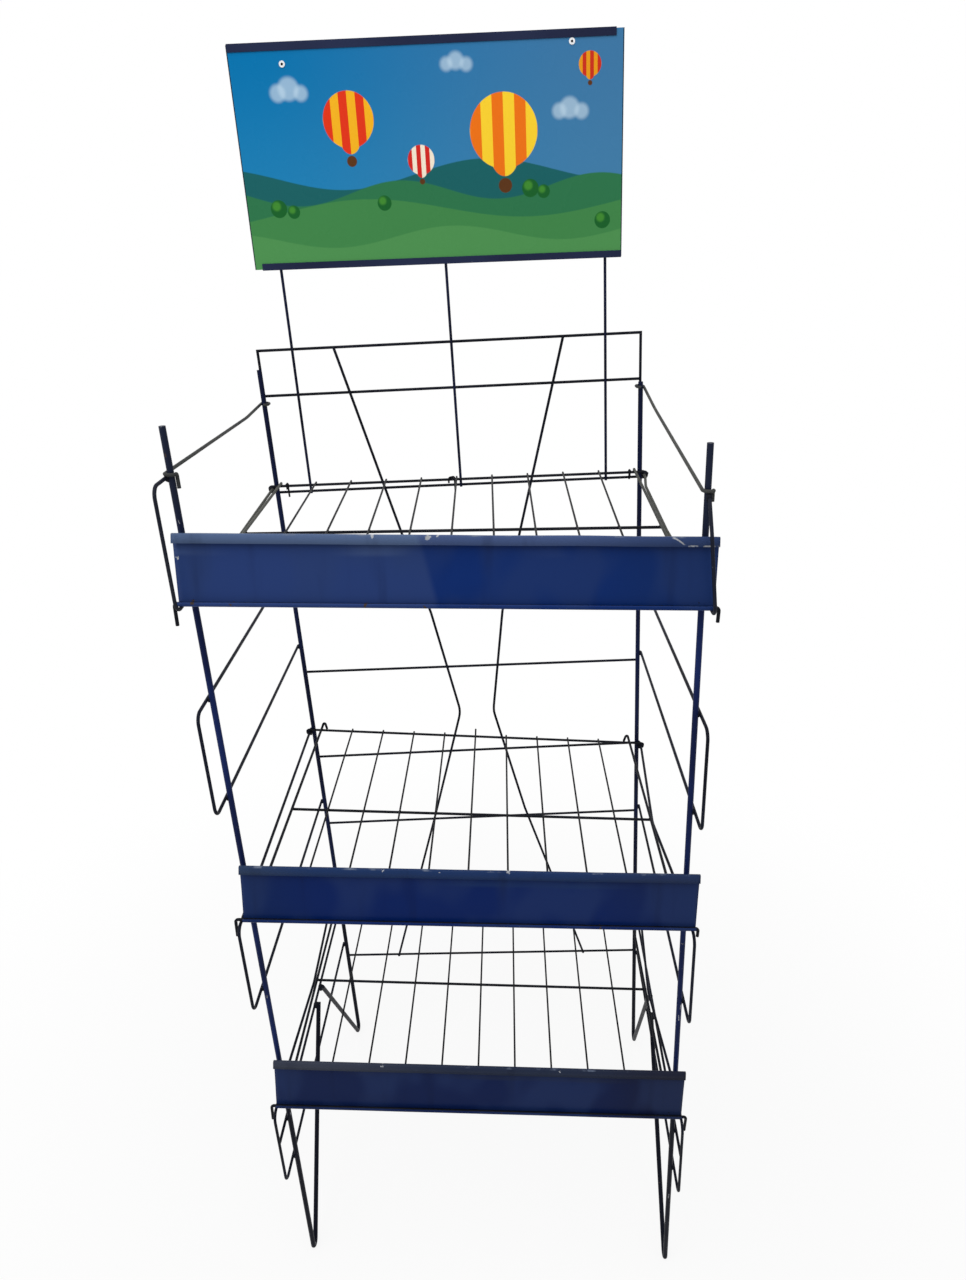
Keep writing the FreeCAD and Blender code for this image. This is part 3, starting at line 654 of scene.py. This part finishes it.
def rail_finish(shelf, faces, lit_lips):
    """Blue sheet paint, with its colours at the left, the middle and the right end of the face and
    of the lip, with scuffed folds and chips. These colours hold painted reflection and shade: the
    lip, which faces up, is painted lighter as a highlight, and slanted lighter bands are painted
    reflections."""
    paint = Finish(shelf + "_rail_paint")
    turned = rail_place(shelf)
    local = paint.node("ShaderNodeMapping", {
        "Vector": paint.place, "Location": turned.to_translation(),
        "Rotation": turned.to_euler()}, vector_type="TEXTURE").outputs[0]
    plain_x, plain_y, plain_z = paint.node("ShaderNodeSeparateXYZ", {0: local}).outputs
    slant = paint.sum("ADD", plain_x, paint.sum("MULTIPLY", plain_z, 0.25))
    soft = paint.sum("MULTIPLY", paint.mottle(7.0), 0.10)
    reach = paint.sum("ADD", slant, soft)
    # Where the face's painted reflection changes from its left colour to its middle one.
    sheen_edge, fade = rail_sheen_edges[shelf]
    past_sheen_edge = paint.step(slant, sheen_edge - fade, sheen_edge + fade)
    right_end = paint.step(reach, 0.16, 0.32)
    face, lit_top_fold = [paint.mix(right_end, paint.mix(past_sheen_edge, left, middle), right)
                      for left, middle, right in (faces, lit_lips)]
    before_face = paint.step(plain_y, 0.0021, 0.0014)
    on_lip = paint.sum("MULTIPLY", before_face, paint.step(plain_z, 0.045, 0.050))
    # Slanted lighter bands across the face are painted reflections.
    slanted = paint.node("ShaderNodeMapping", {
        "Vector": local, "Scale": (16.0, 1.0, 9.0), "Rotation": (0, 0.5, 0)}).outputs[0]
    reflection_bands = paint.step(paint.mottle(1.0, 1.0, slanted), 0.42, 0.56)
    face = paint.mix(paint.sum("MULTIPLY", reflection_bands, 0.35), face, reflection_blue)
    # The lip faces up to the lamps, so its colours are painted lighter: a painted highlight.
    coat = paint.mix(on_lip, face, lit_top_fold)
    drawn_down = paint.node("ShaderNodeMapping", {"Vector": local, "Scale": (40.0, 40.0, 5.0)})
    streaks = paint.step(paint.mottle(1.0, 4.0, drawn_down.outputs[0]), 0.55, 0.75)
    streaks = paint.sum("MULTIPLY", streaks, 0.22)
    coat = paint.mix(streaks, coat, streak_black)
    torn = paint.node("ShaderNodeTexNoise", {"Vector": local, "Scale": 230.0, "Detail": 3.0})
    torn = paint.node("ShaderNodeVectorMath", {0: torn.outputs["Color"], 1: (0.5, 0.5, 0.5)},
                      operation="SUBTRACT").outputs[0]
    torn = paint.node("ShaderNodeVectorMath", {0: torn, "Scale": 0.010}, operation="SCALE").outputs[0]
    ragged = paint.node("ShaderNodeVectorMath", {0: local, 1: torn}, operation="ADD").outputs[0]
    split = paint.node("ShaderNodeSeparateXYZ", {0: ragged})
    x, z = split.outputs["X"], split.outputs["Z"]
    bald = 0.0
    for chip_x, chip_z, radius in chips[shelf]:
        away = paint.node("ShaderNodeVectorMath", {
            0: paint.node("ShaderNodeCombineXYZ", {0: x, 1: z}).outputs[0],
            1: (chip_x, chip_z, 0.0)}, operation="DISTANCE").outputs["Value"]
        spot = paint.step(away, radius * 0.50, radius * 0.30)
        bald = paint.sum("MAXIMUM", spot, bald)
    if shelf == "top":
        drop = paint.sum("MULTIPLY", paint.step(plain_x, scrape_from, scrape_to), 0.0074)
        line_z = paint.sum("SUBTRACT", face_top - 0.0006, drop)
        beside = paint.sum("ABSOLUTE", paint.sum("SUBTRACT", plain_z, line_z))
        scrape = paint.sum("MULTIPLY", paint.step(beside, 0.0011, 0.0005),
                           paint.step(plain_x, scrape_from - 0.001, scrape_from + 0.002))
        scrape = paint.sum("MULTIPLY", scrape, paint.step(paint.mottle(140.0, 3.0), 0.36, 0.50))
        bald = paint.sum("MAXIMUM", paint.sum("MULTIPLY", scrape, on_lip), bald)
    from_fold = paint.sum("ABSOLUTE", paint.sum("SUBTRACT", plain_z, face_top))
    fold_line = paint.step(from_fold, 0.0011, 0.0004)
    rubbed = paint.step(paint.mottle(45.0, 3.0), 0.56, 0.70)
    coat = paint.mix(paint.sum("MULTIPLY", fold_line, rubbed), coat, scuffed_blue)
    under = paint.mix(paint.step(paint.mottle(150.0), 0.44, 0.56), pale_primer, bare_steel)
    under = paint.mix(paint.step(plain_z, 0.010, 0.002), under, rust)
    coat = paint.mix(bald, coat, under)
    return finish_sheet(paint, coat, 0.24, bald)


# Each rail's face colours at the left, the middle and the right, and the place where the left one
# gives way, are painted reflection and shade over one blue paint; the lip colours are lighter as a
# painted highlight.
rail_sheen_edges = {"top": (-0.008, 0.004), "middle": (-0.20, 0.06), "bottom": (-0.10, 0.10)}
rail_colours = {
    "top": (((0.0170, 0.0390, 0.145, 1), (0.0030, 0.0210, 0.127, 1), (0.0040, 0.0200, 0.105, 1)),
            ((0.072, 0.112, 0.216, 1), (0.050, 0.080, 0.188, 1), (0.024, 0.044, 0.122, 1))),
    "middle": (((0.0040, 0.0160, 0.080, 1), (0.0021, 0.0137, 0.095, 1), (0.0060, 0.0160, 0.075, 1)),
               ((0.026, 0.046, 0.098, 1), (0.012, 0.032, 0.105, 1), (0.016, 0.030, 0.085, 1))),
    "bottom": (((0.0050, 0.0130, 0.060, 1), (0.0035, 0.0115, 0.062, 1), (0.0060, 0.0090, 0.032, 1)),
               ((0.038, 0.045, 0.069, 1), (0.016, 0.024, 0.052, 1), (0.012, 0.014, 0.030, 1))),
}
for shelf in carriers:
    strip = rail_mesh(shelf)
    bmesh.ops.transform(strip, matrix=rail_place(shelf), verts=strip.verts)
    bmesh.ops.recalc_face_normals(strip, faces=strip.faces)
    for face in strip.faces:
        face.smooth = True
    data = bpy.data.meshes.new(shelf + "_price_rail_sheet")
    strip.to_mesh(data)
    strip.free()
    data.materials.append(rail_finish(shelf, *rail_colours[shelf]))
    rail = bpy.data.objects.new(shelf + "_price_rail_sheet", data)
    bpy.context.scene.collection.objects.link(rail)
    wall = rail.modifiers.new("sheet", "SOLIDIFY")
    wall.thickness = sheet_t
    wall.offset = 0.0
    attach(rail, "root")
    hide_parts(shelf + "_shelf_price_rail")

# The floor is plain and pale, a touch greyer round the stand, and white beyond. It takes the
# stand's shadow.
floor_half = 9.0
grey_to, white_from = 0.3, 1.3
near_white = 0.88
ground = bmesh.new()
bmesh.ops.create_grid(ground, x_segments=1, y_segments=1, size=floor_half)
data = bpy.data.meshes.new("floor")
ground.to_mesh(data)
ground.free()
floor = bpy.data.objects.new("floor", data)
bpy.context.scene.collection.objects.link(floor)
plain = Finish("floor_white")
plain.shader.inputs["Base Color"].default_value = (0.80, 0.80, 0.80, 1)
plain.shader.inputs["Roughness"].default_value = 0.9
plain.shader.inputs["Specular IOR Level"].default_value = 0.0
white = plain.node("ShaderNodeEmission", {"Color": (1, 1, 1, 1), "Strength": 1.0}).outputs[0]
rays = plain.node("ShaderNodeLightPath").outputs
seen = plain.sum("ADD", plain.sum("ADD", rays["Is Camera Ray"], rays["Is Glossy Ray"]),
                 rays["Is Transmission Ray"])
distance = plain.node("ShaderNodeVectorMath", {0: plain.place}, operation="LENGTH").outputs["Value"]
beyond = plain.step(distance, grey_to, white_from)
fade = plain.sum("ADD", plain.sum("MULTIPLY", beyond, 1 - near_white), near_white)
shown = plain.node("ShaderNodeMixShader", {0: plain.sum("MULTIPLY", seen, fade),
                                           1: plain.shader.outputs[0], 2: white}).outputs[0]
plain.feed(plain.tree.nodes["Material Output"].inputs["Surface"], shown)
data.materials.append(plain.material)

# Plain soft studio light: an even white room, a wide lamp overhead in front, and a weaker
# one from the left.
room_light, room_shown = 0.55, 1.0
lamp_aim = Vector((0, 0, 0.8))
room = bpy.data.worlds.new("room")
bpy.context.scene.world = room
room.use_nodes = True
tree = room.node_tree
backdrop = tree.nodes["Background"]
backdrop.inputs["Color"].default_value = (1, 1, 1, 1)
path = tree.nodes.new("ShaderNodeLightPath")
strength = tree.nodes.new("ShaderNodeMapRange")
seen_ray = path.outputs["Is Camera Ray"]
for kind in ("Is Glossy Ray", "Is Transmission Ray"):
    added = tree.nodes.new("ShaderNodeMath")
    added.use_clamp = True
    tree.links.new(seen_ray, added.inputs[0])
    tree.links.new(path.outputs[kind], added.inputs[1])
    seen_ray = added.outputs[0]
tree.links.new(seen_ray, strength.inputs["Value"])
strength.inputs["To Min"].default_value = room_light
strength.inputs["To Max"].default_value = room_shown
tree.links.new(strength.outputs["Result"], backdrop.inputs["Strength"])

lamps = [
    ("overhead_lamp", (-0.4, -1.2, 3.0), 2.2, 38.0),
    ("left_lamp", (-2.4, -1.6, 1.6), 1.6, 14.0),
]
for name, place, size, power in lamps:
    lamp = bpy.data.lights.new(name, "AREA")
    lamp.size = size
    lamp.energy = power
    holder = bpy.data.objects.new(name, lamp)
    holder.location = place
    holder.rotation_euler = (lamp_aim - Vector(place)).to_track_quat("-Z", "Y").to_euler()
    bpy.context.scene.collection.objects.link(holder)

# The camera stands where the photograph was taken from: above, close, and rolled a little.
# Its focal length and its centre are in pixels of the 966 by 1280 picture.
picture_width, picture_height = 966, 1280
focal_pixels = 919.44
centre_x, centre_y = 505.79, 642.51
camera_place = (-0.001475, -1.04103, 1.33076)
yaw, pitch, roll = (math.radians(angle) for angle in (-0.107, 24.053, 1.728))
sight = Vector((math.sin(yaw) * math.cos(pitch), math.cos(yaw) * math.cos(pitch), -math.sin(pitch)))
level_right = Vector((math.cos(yaw), -math.sin(yaw), 0))
level_up = level_right.cross(sight)
right = level_right * math.cos(roll) + level_up * math.sin(roll)
upward = level_up * math.cos(roll) - level_right * math.sin(roll)
lens = bpy.data.cameras.new("camera")
lens.sensor_width = 36.0
lens.lens = focal_pixels * lens.sensor_width / picture_height
lens.shift_x = -(centre_x - picture_width / 2) / picture_height
lens.shift_y = (centre_y - picture_height / 2) / picture_height
camera = bpy.data.objects.new("camera", lens)
facing = Matrix((right, upward, -sight)).transposed().to_4x4()
camera.matrix_world = Matrix.Translation(camera_place) @ facing
bpy.context.scene.collection.objects.link(camera)
bpy.context.scene.camera = camera
bpy.context.scene.view_settings.view_transform = "Standard"
